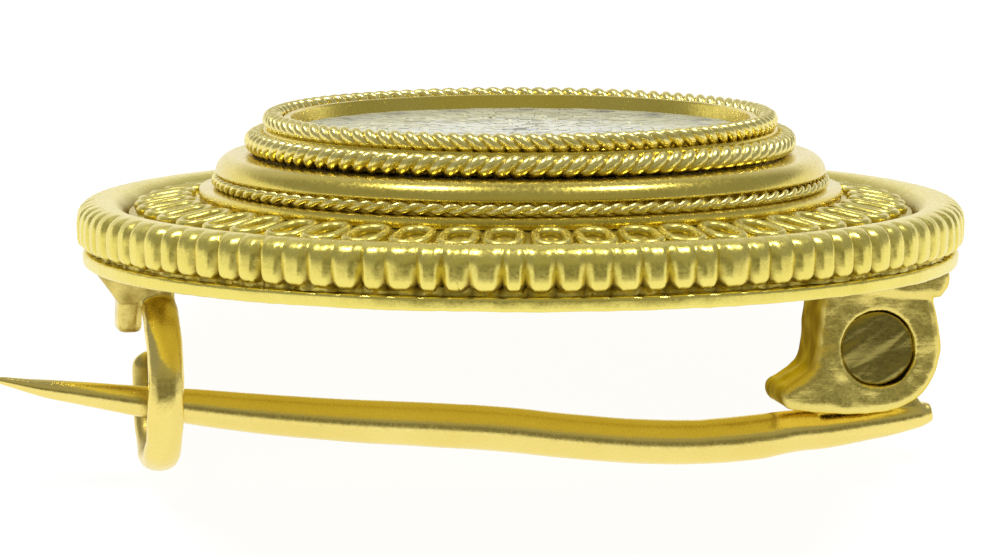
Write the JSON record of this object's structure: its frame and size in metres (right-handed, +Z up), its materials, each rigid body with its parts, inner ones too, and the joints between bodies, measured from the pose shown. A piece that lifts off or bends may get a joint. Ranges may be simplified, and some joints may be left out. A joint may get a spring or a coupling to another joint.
{
  "type": "gold mosaic brooch",
  "caption": "Round gold brooch with a raised mosaic centre in rope borders, a filigree field and a reeded rim, with a hinged pin held by a hook catch on its back.",
  "frame": {"origin": "middle of the box's underside, on the surface that the brooch rests on", "axes": "+X along the pin from its point to the hinge, +Z up; the brooch lies face up on its hook, its pin and the back edge of its plate, so the face leans about 26 degrees towards +Y"},
  "size_m": [0.031, 0.0256, 0.0138],
  "materials": {
    "gold_satin": "satin yellow gold",
    "gold_polished": "worn polish, yellow gold",
    "mosaic": "small opaque glass pieces ground flat"
  },
  "bodies": {
    "brooch": {"back_plate": "gold_satin", "reeded_rim": "gold_satin", "filigree_field": "gold_satin", "collar": "gold_satin", "collar_rope": "gold_satin", "bezel": "gold_satin", "bezel_rope": "gold_satin", "crown_rope": "gold_satin", "mosaic_panel": "mosaic", "catch": "gold_polished", "hinge": "gold_polished", "hinge_rivet": "gold_polished"},
    "pin": {"pin_stem": "gold_polished"}
  },
  "joints": [
    {"name": "pin_swing", "type": "hinge", "parent": "brooch", "child": "pin", "pos_m": [0.01262, -0.00161, 0.00343], "axis": [0.0031, -0.8998, 0.4362], "range_deg": [0, 100]}
  ]
}
